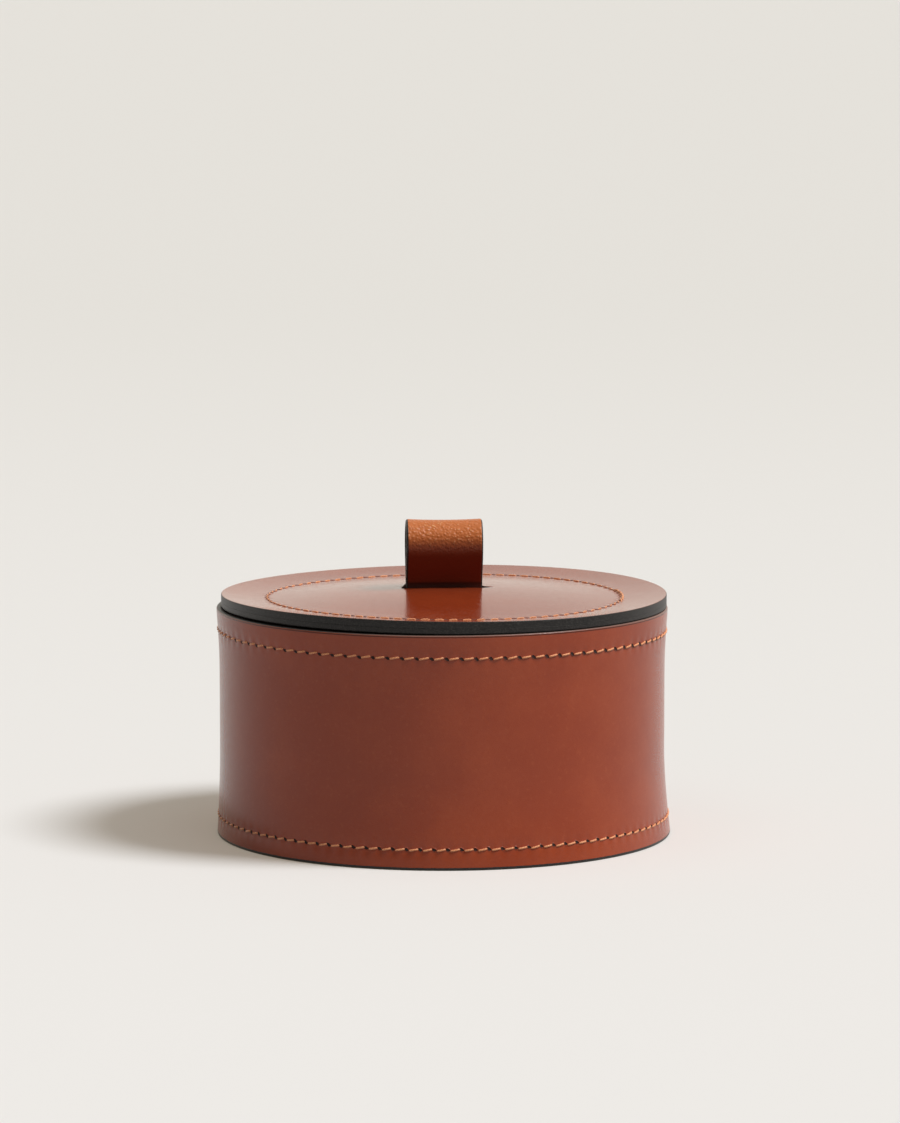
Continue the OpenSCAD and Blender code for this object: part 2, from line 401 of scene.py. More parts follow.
wall = {
    "waist": 74.0,
    "height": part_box("side_wall")[1].z / mm,
    "thickness": 3.0,
    "footFlare": 1.6,
    "footLean": 0.6,  # the spread foot sits this far to the right of the waist
    "footFlareHeight": 28.0,
    "footPower": 1.6,
    "rimFlare": 1.2,
    "rimFlareHeight": 22.0,
    "rimRound": 0.25,  # how far the leather turns back in above the rim seam
    "edge": 0.6,
    "buttGap": 0.3,
    "glue": 0.1,
    "bandHeight": 14.0,
    "bandThickness": 2.4,
}
seams = {
    "rim": {"inset": 7.5, "count": 98, "tilt": 0.34},
    "foot": {"inset": 6.6, "count": 106},
    "lid": {"radius": 58.8, "count": 82},
}


def footShare(z):
    return max(0, 1 - z / wall["footFlareHeight"]) ** wall["footPower"]


def wallRadius(z):
    rim = max(0, 1 - (wall["height"] - z) / wall["rimFlareHeight"]) ** 2
    turned = max(0, 1 - (wall["height"] - z) / seams["rim"]["inset"]) ** 2
    return wall["waist"] + wall["footFlare"] * footShare(z) + wall["rimFlare"] * rim - wall["rimRound"] * turned


def arcPoints(x, z, radius, start, end, steps=5):
    angles = [math.radians(start + (end - start) * k / steps) for k in range(steps + 1)]
    return [(x + radius * math.cos(a), z + radius * math.sin(a)) for a in angles]


def spacedSteps(low, high, centres, fine=0.55, coarse=4.0, reach=4.0):  # closer together near the centres
    values = [low]
    while values[-1] < high:
        away = min(abs(values[-1] - c) for c in centres)
        values.append(values[-1] + (fine if away < reach else min(coarse, fine + (away - reach) * 0.35)))
    scale = (high - low) / (values[-1] - low)
    return [low + (v - low) * scale for v in values]


def wallProfile():
    edge = wall["edge"]
    top = wall["height"]
    centres = [seams["foot"]["inset"], top - seams["rim"]["inset"]]
    outer = [(wallRadius(z), z) for z in spacedSteps(edge + 0.2, top - edge - 0.2, centres)]
    inner = [(wallRadius(top * k / 12) - wall["thickness"], top * k / 12) for k in range(12, -1, -1)]
    return (arcPoints(wallRadius(edge) - edge, edge, edge, -90, 0)
            + outer + arcPoints(wallRadius(top - edge) - edge, top - edge, edge, 0, 90) + inner)


turnInputs = {
    "Columns": "Int", "From Angle": "Float", "To Angle": "Float", "Centre": "Float",
    "Seam Radius A": "Float", "Seam Height A": "Float", "Seam Count A": "Float",
    "Seam Radius B": "Float", "Seam Height B": "Float", "Seam Count B": "Float",
    "Seam Tilt": "Float", "Lean": "Float", "Lean Height": "Float", "Lean Power": "Float",
    "Warp": "Float", "Warp Radius": "Float", "Warp Floor": "Float",
    "Pucker Depth": "Float", "Pucker Reach": "Float", "Press Out": "Float", "Press Up": "Float",
    "Material": "Material",
}


def makeTurnTree():  # sweeps a profile, drawn as x = radius and z = height, round the upright axis
    tree, wires, output = newTree("turnedLeather", turnInputs)
    index = Wire(tree, addNode(tree, "GeometryNodeInputIndex").outputs[0])
    size = addNode(tree, "GeometryNodeAttributeDomainSize", {0: wires["Geometry"]}, component="MESH")
    rows = Wire(tree, size.outputs["Point Count"])
    grid = addNode(tree, "GeometryNodeMeshGrid", {"Vertices X": wires["Columns"], "Vertices Y": rows})
    column = ((index + 0.5) / rows).maths("FLOOR")
    row = index - column * rows
    profile = addNode(tree, "GeometryNodeSampleIndex", {
        "Geometry": wires["Geometry"], "Value": addNode(tree, "GeometryNodeInputPosition").outputs[0],
        "Index": row,
    }, data_type="FLOAT_VECTOR", domain="POINT")
    parts = addNode(tree, "ShaderNodeSeparateXYZ", {0: profile.outputs[0]}).outputs
    radius = Wire(tree, parts[0])
    height = Wire(tree, parts[2])
    share = column / (wires["Columns"] - 1)
    angle = wires["From Angle"] + (wires["To Angle"] - wires["From Angle"]) * share
    cosine, sine = angle.maths("COSINE"), angle.maths("SINE")
    press = None
    for seam in ("A", "B"):  # the thread pulls the leather in, most of all at each slit
        across = (radius - wires["Seam Radius " + seam]) / wires["Pucker Reach"]
        level = wires["Seam Height " + seam]
        if seam == "A":
            level = level - cosine * wires["Seam Tilt"]
        along = (height - level) / wires["Pucker Reach"]
        near = ((across.squared() + along.squared()) * -1).maths("EXPONENT")
        wave = (angle * wires["Seam Count " + seam]).maths("COSINE") * 0.42 + 0.58
        press = near * wave if press is None else press + near * wave
    press = press * wires["Pucker Depth"]
    low = (height / wires["Lean Height"] * -1 + 1).maths("MAXIMUM", 0.0).maths("POWER", wires["Lean Power"])
    lean = low * wires["Lean"]
    warp = (angle * 2).maths("SINE") * wires["Warp"] * (radius / wires["Warp Radius"]).squared()
    above = height.step(wires["Warp Floor"], wires["Warp Floor"] + 1.2 * mm)
    lift = warp.maths("MAXIMUM", 0.0) + warp.maths("MINIMUM", 0.0) * above
    radius = radius + press * wires["Press Out"]
    height = height + press * wires["Press Up"] + lift
    place = addNode(tree, "ShaderNodeCombineXYZ", {
        0: radius * cosine + wires["Centre"] + lean, 1: radius * sine, 2: height,
    })
    turned = addNode(tree, "GeometryNodeSetPosition", {"Geometry": grid.outputs[0], "Position": place.outputs[0]})
    merged = addNode(tree, "GeometryNodeMergeByDistance", {"Geometry": turned.outputs[0], "Distance": 0.002 * mm})
    endTree(tree, merged.outputs[0], wires["Material"], output)
    return tree


turnTree = makeTurnTree()


def turn(name, profile, material, columns=256, span=(0.0, math.tau), centre=0.0, pucker=None, lean=0.0,
         warp=0.0, warpFloor=0.0):
    points = [(r * mm, 0, z * mm) for r, z in profile]
    source = polyline(name + "Profile", points + points[:1])
    pucker = pucker or {}
    settings = {
        "Columns": columns + 1, "From Angle": span[0], "To Angle": span[1], "Centre": centre * mm,
        "Lean": lean * mm, "Lean Height": wall["footFlareHeight"] * mm, "Lean Power": wall["footPower"],
        "Warp": warp * mm, "Warp Radius": wall["waist"] * mm, "Warp Floor": warpFloor * mm,
        "Seam Tilt": pucker.get("tilt", 0.0) * mm,
        "Pucker Depth": pucker.get("depth", 0.0) * mm, "Pucker Reach": pucker.get("reach", 1.0) * mm,
        "Press Out": pucker.get("out", 0.0), "Press Up": pucker.get("up", 0.0), "Material": material,
    }
    for letter, seam in zip("AB", pucker.get("seams", [])):
        settings["Seam Radius " + letter] = seam[0] * mm
        settings["Seam Height " + letter] = seam[1] * mm
        settings["Seam Count " + letter] = float(seam[2])
    made = bake(source, name, turnTree, settings)
    tidyMesh(made, fill=span[1] - span[0] < math.tau - 1e-4)
    return made


def cutSlit(piece, centre, halfWidth, low, high):  # all in mm; full width over the strap, a wedge at the right
    left, straight, right = lid["slitEnds"]
    outline = [(left, -halfWidth * 0.8), (left + 0.5, -halfWidth), (straight, -halfWidth), (right, -0.25),
               (right, 0.25), (straight, halfWidth), (left + 0.5, halfWidth), (left, halfWidth * 0.8)]
    work = bmesh.new()
    rings = [[work.verts.new(((centre + x) * mm, y * mm, z * mm)) for x, y in outline] for z in (low, high)]
    work.faces.new(reversed(rings[0]))
    work.faces.new(rings[1])
    for k in range(len(outline)):
        following = (k + 1) % len(outline)
        work.faces.new((rings[0][k], rings[0][following], rings[1][following], rings[1][k]))
    mesh = bpy.data.meshes.new("slitCutter")
    work.to_mesh(mesh)
    work.free()
    cutter = bpy.data.objects.new("slitCutter", mesh)
    scene.collection.objects.link(cutter)
    modifier = piece.modifiers.new("slit", "BOOLEAN")
    modifier.object = cutter
    modifier.operation = "DIFFERENCE"
    modifier.solver = "EXACT"
    graph = bpy.context.evaluated_depsgraph_get()
    cut = bpy.data.meshes.new_from_object(piece.evaluated_get(graph))
    piece.modifiers.clear()
    piece.data = cut
    bpy.data.objects.remove(cutter)
    # the cut's walls turn near-black: partly black edge paint, partly painted shade inside the slit
    cut.materials.append(slitDark)
    for face in cut.polygons:
        x, y = face.center.x / mm - centre, face.center.y / mm
        if abs(face.normal.z) < 0.3 and left - 0.1 < x < right + 0.1 and abs(y) < halfWidth + 0.05:
            face.material_index = len(cut.materials) - 1


# Wall and rim band

rimTop = wall["height"]
bodyLeather = makeLeather("bodyLeather", leatherLook, 0.22, {
    # black edge paint on the rim's top and round the foot; the foot's band reaches 0.95 mm up, partly edge paint and
    # partly painted contact shade along the floor
    "rules": [("z", "over", rimTop - 0.25, ""), ("z", "under", 0.95, "")],
    # a pale line on the rim's rounded corner: partly rubbed paint, partly painted highlight
    "paintedHighlight": [("z", "over", rimTop - 0.36, ""), ("r", "over", wallRadius(rimTop) - 0.50, "and")],
    "dark": [("z", "over", rimTop - 0.78, ""), ("z", "under", rimTop - 0.40, "and")],
}, ior=1.40)
slitDark = makeSlitDark("slitDark")


def makeWall():
    gap = wall["buttGap"] / 2 / wallRadius(0)
    rimSeam = wall["height"] - seams["rim"]["inset"]
    footSeam = seams["foot"]["inset"]
    made = turn("sideWall", wallProfile(), bodyLeather, columns=848,
                span=(math.pi / 2 + gap, math.pi * 2.5 - gap), lean=wall["footLean"], pucker={
                    "depth": 0.20, "reach": 2.2, "out": -1.0, "tilt": seams["rim"]["tilt"],
                    "seams": [(wallRadius(rimSeam), rimSeam, seams["rim"]["count"]),
                              (wallRadius(footSeam), footSeam, seams["foot"]["count"])],
                })
    finishPiece(made, "box", "bridle_leather", "side_wall")


def makeRimBand():
    top = wall["height"]
    low = top - wall["bandHeight"]
    out = wall["thickness"] + wall["glue"]
    inside = out + wall["bandThickness"]
    edge = wall["edge"]
    heights = [low + (top - edge - 0.2 - low) * k / 10 for k in range(11)]
    profile = [(wallRadius(z) - inside, z) for z in heights]
    profile += arcPoints(wallRadius(top - edge) - inside + edge, top - edge, edge, 180, 90)
    profile += [(wallRadius(z) - out, z) for z in (top, top - 4, top - 8, low)]
    made = turn("rimBand", profile, bodyLeather)
    finishPiece(made, "box", "bridle_leather", "rim_band")


base = {
    "top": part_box("base_lining")[0].z / mm,
    "thickness": 2.6,
    "corner": 5.0,
}


def makeBaseCup():  # a moulded disc with its flange turned down inside the foot
    top, corner, thick, edge = base["top"], base["corner"], base["thickness"], wall["edge"]
    bend = top - corner
    out = wall["thickness"] + wall["glue"]
    middle = wallRadius(bend) - out - corner
    heights = [bend * k / 6 for k in range(7)]
    profile = [(wallRadius(z) - out, z) for z in heights]
    profile += arcPoints(middle, bend, corner, 0, 90, 8)[1:] + [(40, top), (0, top), (0, top - thick), (40, top - thick)]
    profile += arcPoints(middle, bend, corner - thick, 90, 0, 6)
    profile += [(wallRadius(z) - out - thick, z) for z in reversed(heights[1:-1])]
    profile += arcPoints(wallRadius(edge) - out - thick + edge, edge, edge, 180, 270)
    made = turn("baseCup", profile, bodyLeather, lean=wall["footLean"])
    finishPiece(made, "box", "bridle_leather", "base_cup")


makeWall()
makeRimBand()
makeBaseCup()


# Lid

lidLow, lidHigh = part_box("lid_top")
lid = {
    "centre": (lidLow.x + lidHigh.x) / 2 / mm,
    "radius": (lidHigh.x - lidLow.x) / 2 / mm,
    "backingLow": wall["height"],
    "backingHigh": wall["height"] + 2.1,
    "topLow": wall["height"] + 2.2,
    "topHigh": wall["height"] + 4.4,
    "raise": 2.3,
    "levelRadius": 26.78,
    "slopeWidth": 25.0,
    "surface": [(0, 1.9), (14.5, 1.6), (30, 0.75), (45, -0.4), (54, -1.15), (58.8, -1.38), (64, -1.08), (73.7, 0.0)],
    "warp": 0.46,  # the rim of the lid lifts at the near left and the far right
    "edge": 0.3,
    "layerEdge": 0.05,
    "layerGap": 0.02,
    "slitEnds": (-14.0, 12.95, 15.4),
    "hole": 2.0,
}


def rise(r):  # the middle stands up over the tab's two tails
    share = min(max((r - lid["levelRadius"]) / lid["slopeWidth"], 0), 1)
    return lid["raise"] * (1 + math.cos(math.pi * share)) / 2


def lidSurface(r):  # a dish round the seam and a low dome inside it, smooth through the listed points
    marks = lid["surface"]
    last = len(marks) - 1
    k = max(0, min(last - 1, sum(1 for mark in marks if mark[0] <= r) - 1))

    def slope(i):
        before, after = marks[max(i - 1, 0)], marks[min(i + 1, last)]
        return 0.0 if i == 0 else (after[1] - before[1]) / (after[0] - before[0])

    (fromR, fromZ), (toR, toZ) = marks[k], marks[k + 1]
    width = toR - fromR
    s = min(max((r - fromR) / width, 0), 1)
    offset = (fromZ * (1 + 2 * s) * (1 - s) ** 2 + slope(k) * width * s * (1 - s) ** 2
              + toZ * s * s * (3 - 2 * s) - slope(k + 1) * width * s * s * (1 - s))
    return lid["topHigh"] + offset


lidZones = {"centre": lid["centre"], "wobble": 0.08, "rules": [("r", "over", lid["radius"] - 0.17, "")]}
# the lid's top is the body's leather painted darker, as shade against the stronger light on its upward face
lidLeather = makeLeather("lidLeather", leatherLook, 0.13, lidZones, streak=0.012, shadeTone=0.74)
backingLeather = makeLeather("backingLeather", leatherLook, 0.40, {
    "centre": lid["centre"], "rules": [("r", "over", lid["radius"] - 1.0, "")],
})


def makeLidTop():
    edge = lid["edge"]
    outer = lid["radius"]
    radii = spacedSteps(lid["hole"], outer - edge - 0.2, [seams["lid"]["radius"]], fine=0.6, coarse=3.0, reach=5)
    profile = [(r, lidSurface(r)) for r in radii]
    profile += arcPoints(outer - edge, lid["topHigh"] - edge, edge, 90, 0, 6)
    profile += [(outer, lid["topLow"] + 1.0), (outer, lid["topLow"] + 0.4)]
    small = lid["layerEdge"]
    under = lid["backingHigh"] + lid["layerGap"]
    profile += arcPoints(outer - small, under + small, small, 0, -90, 3) + [(outer - 1.2, under)]
    profile += [(r, lid["topLow"] + rise(r)) for r in (72, 66, 60, 54, 50, 46, 42, 38, 34, 30, 26, 14, lid["hole"])]
    made = turn("lidTop", profile, lidLeather, columns=656, centre=lid["centre"], warp=lid["warp"], pucker={
        "depth": 0.16, "reach": 1.7, "up": -1.0,
        "seams": [(seams["lid"]["radius"], lidSurface(seams["lid"]["radius"]), seams["lid"]["count"])],
    })
    cutSlit(made, lid["centre"], 2.55, lid["topLow"] - 2, lid["topHigh"] + 6)
    finishPiece(made, "lid", "bridle_leather", "lid_top")


def makeLidBacking():
    edge = wall["edge"]
    outer = lid["radius"]
    small = lid["layerEdge"]
    low, high = lid["backingLow"], lid["backingHigh"]
    radii = (lid["hole"], 14, 26, 30, 34, 38, 42, 46, 50, 54, 60, 66, 72)
    profile = [(r, high + rise(r)) for r in radii]
    profile += arcPoints(outer - small, high - small, small, 90, 0, 3)
    profile += [(outer, high - 0.5), (outer, low + edge + 0.2)]
    profile += arcPoints(outer - edge, low + edge, edge, 0, -90)
    profile += [(r, low + rise(r)) for r in reversed(radii)]
    made = turn("lidBacking", profile, backingLeather, columns=384, centre=lid["centre"], warp=lid["warp"],
                warpFloor=low + 0.2)
    cutSlit(made, lid["centre"], 3.05, low - 2, high + 5)
    finishPiece(made, "lid", "bridle_leather", "lid_backing")


makeLidTop()
makeLidBacking()


# Pull tab: one strap folded into a loop, with a tail each way under the lid

tabLow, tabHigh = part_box("pull_tab")
tab = {
    "width": (tabHigh.x - tabLow.x) / mm,
    "thickness": 2.2,
    "legGap": 0.3,
    "loopRadius": 6.6,
    "loopCentre": tabHigh.z / mm - 1.1 - 6.6,
    "loopDrop": 1.1,  # how much taller than round the loop is
    "legFoot": lid["topHigh"] + lid["raise"],
    "tailHeight": wall["height"] + 1.15,
    "tailLength": 18.0,
    "bendRadius": 0.7,
    "corner": 0.85,
    "curl": 0.35,
}
strapLeather = makeLeather("strapLeather", leatherLook, 0.36, {
    "centre": lid["centre"] + 0.1, "wobble": 0.12, "rules": [("x", "over", tab["width"] / 2 - 0.55, "")],
}, pebble={
    "low": 92.5, "high": 97.5, "size": 0.85, "depth": 0.28, "wrinkle": 1.2, "wrinkleDepth": 0.10,
    # lift and pale lighten the bend, partly stretched leather and partly painted light; the spots are painted
    # highlights; the heights and dark colours below give painted shade
    "lift": 0.75, "pale": shade(194, 112, 54), "spots": 0.6, "paintedHighlight": shade(232, 176, 122), "foot": 84.3,
    "loopShade": 101.2, "dark": shade(96, 32, 18),
})


def tabLine():  # half of the strap's middle line, as (y, z)
    middle = (tab["legGap"] + tab["thickness"]) / 2
    bend = tab["bendRadius"] + tab["thickness"] / 2
    tail = [(middle + bend + tab["tailLength"] * (1 - k / 6), tab["tailHeight"]) for k in range(6)]
    turned = arcPoints(middle + bend, tab["tailHeight"] + bend, bend, 270, 180, 8)
    leg = []
    waist = tab["loopCentre"] - tab["loopDrop"]
    for k in range(22):
        s = k / 22
        y = middle + (tab["loopRadius"] - middle) * (1 - math.cos(math.pi * s)) / 2
        leg.append((y, tab["legFoot"] + (waist - tab["legFoot"]) * s))
    taller = 1 + tab["loopDrop"] / tab["loopRadius"]
    loop = [(y, waist + z * taller) for y, z in arcPoints(0, 0, tab["loopRadius"], 0, 90, 24)]
    return tail + turned + leg + loop


def strapSection():  # round the strap's section, as (across, out), before its edges curl
    half, thick, corner = tab["width"] / 2, tab["thickness"] / 2, tab["corner"]
    flat = [half * math.sin(math.pi / 2 * k / 9) for k in range(-9, 10)]
    flat = [x * (half - corner) / half for x in flat]
    top = [(x, thick) for x in reversed(flat)]
    left = arcPoints(-half + corner, thick - corner, corner, 90, 180, 4)
    left += arcPoints(-half + corner, -thick + corner, corner, 180, 270, 4)
    bottom = [(x, -thick) for x in flat]
    right = arcPoints(half - corner, -thick + corner, corner, -90, 0, 4)
    right += arcPoints(half - corner, thick - corner, corner, 0, 90, 4)
    points = []
    for p in top + left + bottom + right:
        if not points or (abs(p[0] - points[-1][0]) + abs(p[1] - points[-1][1])) > 0.01:
            points.append(p)
    return points[:-1] if abs(points[0][0] - points[-1][0]) < 0.01 else points


def makeTab():
    half = tabLine()
    line = half + [(-y, z) for y, z in reversed(half[:-1])]
    section = strapSection()
    verts, faces = [], []
    last = len(line) - 1
    for i, (y, z) in enumerate(line):
        before, after = line[max(i - 1, 0)], line[min(i + 1, last)]
        dy, dz = after[0] - before[0], after[1] - before[1]
        length = math.hypot(dy, dz)
        outY, outZ = dz / length, -dy / length
        high = min(max((z - tab["legFoot"] - 3) / (tab["loopCentre"] - tab["legFoot"] - 3), 0), 1)
        for x, out in section:
            curl = tab["curl"] * high * (abs(2 * x / tab["width"]) ** 2.2 - 1)
            verts.append(((lid["centre"] + x) * mm, (y + outY * (out + curl)) * mm, (z + outZ * (out + curl)) * mm))
    n = len(section)
    for i in range(last):
        for k in range(n):
            a, b = i * n + k, i * n + (k + 1) % n
            faces.append((a, b, b + n, a + n))
    faces.append(tuple(range(n)))
    faces.append(tuple(last * n + k for k in range(n)))
    mesh = bpy.data.meshes.new("pullTab")
    mesh.from_pydata(verts, [], faces)
    mesh.materials.append(strapLeather)
    made = bpy.data.objects.new("pullTab", mesh)
    scene.collection.objects.link(made)
    tidyMesh(made)
    finishPiece(made, "lid", "bridle_leather", "pull_tab")


makeTab()


shoulder = {
    "reach": 1.35,  # how far the strap's shoulder stands out of the slit, to the left of the loop
    "rise": 1.35,
    "depth": 1.5,
}


def makeShoulder():  # the strap's painted corner where it spreads again as it goes through the slit
    level = lidSurface(13.5)
    start = lid["centre"] - tab["width"] / 2 + 0.25
    steps = 6
    work = bmesh.new()
    rings = []
    for k in range(steps + 1):
        s = k / steps
        x = start - (shoulder["reach"] + 0.25) * s
        top = level + shoulder["rise"] * (1 - s) ** 1.3 + 0.12
        y = shoulder["depth"] * (1 - 0.75 * s * s)
        section = [(-y, level - 1.0), (y, level - 1.0), (y, top - 0.3), (y - 0.3, top), (-y + 0.3, top), (-y, top - 0.3)]
        rings.append([work.verts.new((x * mm, v[0] * mm, v[1] * mm)) for v in section])
    for one, two in zip(rings, rings[1:]):
        for k in range(6):
            work.faces.new((one[k], one[(k + 1) % 6], two[(k + 1) % 6], two[k]))
    work.faces.new(rings[0])
    work.faces.new(reversed(rings[-1]))
    mesh = bpy.data.meshes.new("strapShoulder")
    work.to_mesh(mesh)
    work.free()
    mesh.materials.append(slitDark)
    made = bpy.data.objects.new("strapShoulder", mesh)
    scene.collection.objects.link(made)
    tidyMesh(made)
    finishPiece(made, "lid", "bridle_leather")


makeShoulder()


# Saddle stitching: every seam has threads and awl slits on both faces of the leather

stitch = {
    "thread": 0.66,
    "length": 3.2,
    "slope": 10.0,  # degrees
    "crest": 0.20,
    "sink": 0.50,
    "slitAngle": -42.0,  # degrees
    "slitLength": 1.9,
    "slitWidth": 0.95,
    "lip": 0.22,
    "lipHeight": 0.10,
}
threadMaterial = makeThread("waxedThread", threadLook)


def pathFrames(tree, wires):  # points along the seam, each turned to follow it and to face out of the leather
    curve = addNode(tree, "GeometryNodeMeshToCurve", {0: wires["Geometry"]})
    points = addNode(tree, "GeometryNodeCurveToPoints", {"Curve": curve.outputs[0], "Count": wires["Points"]},
                     mode="COUNT")
    position = addNode(tree, "GeometryNodeInputPosition").outputs[0]
    parts = addNode(tree, "ShaderNodeSeparateXYZ", {0: position}).outputs
    flat = addNode(tree, "ShaderNodeCombineXYZ", {0: Wire(tree, parts[0]) - wires["Centre"], 1: parts[1]})
    radial = addNode(tree, "ShaderNodeVectorMath", {0: flat.outputs[0]}, operation="NORMALIZE")
    face = addNode(tree, "ShaderNodeMix", {0: wires["Face Up"], 4: radial.outputs[0], 5: (0, 0, 1)},
                   data_type="VECTOR").outputs[1]
    turned = addNode(tree, "FunctionNodeAxesToRotation", {0: points.outputs["Tangent"], 1: face},
                     primary_axis="X", secondary_axis="Z")
    index = Wire(tree, addNode(tree, "GeometryNodeInputIndex").outputs[0])
    odd = index - (index * 0.5).maths("FLOOR") * 2
    return points.outputs["Points"], face, turned.outputs[0], odd


def jitter(tree, wires, low, high, shift=0):
    seed = wires["Seed"] + shift
    made = addNode(tree, "FunctionNodeRandomValue", {"Min": low, "Max": high, "Seed": seed}, data_type="FLOAT")
    return Wire(tree, next(s for s in made.outputs if s.enabled))


def lifted(tree, wires):  # how far the warped lid lifts the seam's outer face
    position = addNode(tree, "GeometryNodeInputPosition").outputs[0]
    parts = addNode(tree, "ShaderNodeSeparateXYZ", {0: position}).outputs
    angle = Wire(tree, parts[1]).maths("ARCTAN2", Wire(tree, parts[0]) - wires["Centre"])
    return (angle * 2).maths("SINE") * wires["Warp"]


def bothFaces(tree, wires, points, face, turned, spin, shape, wanted, lengthScale):
    instances = []
    for side in (0, 1):  # the outer face, then the inner face, where the shape is turned over
        rotation = turned
        if not side:
            up = addNode(tree, "ShaderNodeVectorMath", {0: face, "Scale": lifted(tree, wires)}, operation="SCALE")
            moved = addNode(tree, "GeometryNodeSetPosition", {"Geometry": points, "Offset": up.outputs[0]}).outputs[0]
        else:
            back = addNode(tree, "ShaderNodeVectorMath", {0: face, "Scale": wires["Through"] * -1}, operation="SCALE")
            moved = addNode(tree, "GeometryNodeSetPosition", {"Geometry": points, "Offset": back.outputs[0]}).outputs[0]
            rotation = addNode(tree, "FunctionNodeRotateRotation", {0: rotation, 1: (math.pi, 0, 0)},
                               rotation_space="LOCAL").outputs[0]
        euler = addNode(tree, "ShaderNodeCombineXYZ", {2: spin})
        rotation = addNode(tree, "FunctionNodeRotateRotation", {0: rotation, 1: euler.outputs[0]},
                           rotation_space="LOCAL").outputs[0]
        scale = addNode(tree, "ShaderNodeCombineXYZ", {0: lengthScale, 1: 1.0, 2: 1.0})
        made = addNode(tree, "GeometryNodeInstanceOnPoints", {
            "Points": moved, "Selection": wanted, "Instance": shape, "Rotation": rotation, "Scale": scale.outputs[0],
        })
        if side:
            keep = wires["Through"].maths("GREATER_THAN", 0.0)
            made = addNode(tree, "GeometryNodeSwitch", {"Switch": keep, "True": made.outputs[0]},
                           input_type="GEOMETRY")
        instances.append(made.outputs[0])
    joined = addNode(tree, "GeometryNodeJoinGeometry")
    for made in instances:
        tree.links.new(made, joined.inputs[0])
    return joined.outputs[0]


seamInputs = {
    "Points": "Int", "Centre": "Float", "Through": "Float", "Face Up": "Float", "Warp": "Float", "Seed": "Int",
    "Material": "Material",
}


def makeStitchTree():
    tree, wires, output = newTree("saddleStitches", {
        **seamInputs, "Thread": "Float", "Length": "Float", "Slope": "Float", "Crest": "Float", "Sink": "Float",
    })
    points, face, turned, odd = pathFrames(tree, wires)
    half = wires["Length"] * 0.5
    start = addNode(tree, "ShaderNodeCombineXYZ", {0: half * -1})
    end = addNode(tree, "ShaderNodeCombineXYZ", {0: half})
    line = addNode(tree, "GeometryNodeCurvePrimitiveLine", {"Start": start.outputs[0], "End": end.outputs[0]})
    line = addNode(tree, "GeometryNodeResampleCurve", {"Curve": line.outputs[0], "Count": 9})
    position = addNode(tree, "GeometryNodeInputPosition").outputs[0]
    across = Wire(tree, addNode(tree, "ShaderNodeSeparateXYZ", {0: position}).outputs[0])
    share = (across / half).squared()
    plunge = share * share * share  # level on top, then down into the slit at each end
    drop = wires["Crest"] - (wires["Crest"] + wires["Sink"]) * plunge
    offset = addNode(tree, "ShaderNodeCombineXYZ", {2: drop})
    bent = addNode(tree, "GeometryNodeSetPosition", {"Geometry": line.outputs[0], "Offset": offset.outputs[0]})
    length = addNode(tree, "GeometryNodeSplineParameter")
    bent = addNode(tree, "GeometryNodeStoreNamedAttribute", {
        "Geometry": bent.outputs[0], "Name": "along", "Value": length.outputs["Length"],
    }, data_type="FLOAT", domain="POINT")
    thin = addNode(tree, "GeometryNodeSetCurveRadius", {"Curve": bent.outputs[0], "Radius": share * -0.22 + 1.0})
    ring = addNode(tree, "GeometryNodeCurvePrimitiveCircle", {"Resolution": 7, "Radius": wires["Thread"] * 0.5},
                   mode="RADIUS")
    round_ = addNode(tree, "GeometryNodeSplineParameter")
    ring = addNode(tree, "GeometryNodeStoreNamedAttribute", {
        "Geometry": ring.outputs[0], "Name": "around", "Value": round_.outputs["Factor"],
    }, data_type="FLOAT", domain="POINT")
    tube = addNode(tree, "GeometryNodeCurveToMesh", {
        "Curve": thin.outputs[0], "Profile Curve": ring.outputs[0], "Fill Caps": True,
    })
    spin = wires["Slope"] + jitter(tree, wires, -0.05, 0.05)
    scale = jitter(tree, wires, 0.95, 1.03, 7)
    geometry = bothFaces(tree, wires, points, face, turned, spin, tube.outputs[0], odd, scale)
    endTree(tree, geometry, wires["Material"], output)
    return tree


def makeSlitTree():
    tree, wires, output = newTree("awlSlits", {**seamInputs, "Slit": "Object", "Slit Angle": "Float"})
    points, face, turned, odd = pathFrames(tree, wires)
    shape = addNode(tree, "GeometryNodeObjectInfo", {"Object": wires["Slit"]})
    spin = wires["Slit Angle"] + jitter(tree, wires, -0.12, 0.12)
    scale = jitter(tree, wires, 0.9, 1.1, 3)
    geometry = bothFaces(tree, wires, points, face, turned, spin, shape.outputs["Geometry"], odd * -1 + 1, scale)
    real = addNode(tree, "GeometryNodeRealizeInstances", {"Geometry": geometry})
    dark = Wire(tree, addNode(tree, "GeometryNodeInputMaterialIndex").outputs[0])
    smooth = addNode(tree, "GeometryNodeSetShadeSmooth", {"Geometry": real.outputs[0]})
    painted = addNode(tree, "GeometryNodeSetMaterial", {
        "Geometry": smooth.outputs[0], "Selection": dark * -1 + 1, "Material": wires["Material"],
    })
    tree.links.new(painted.outputs[0], output.inputs[0])
    return tree


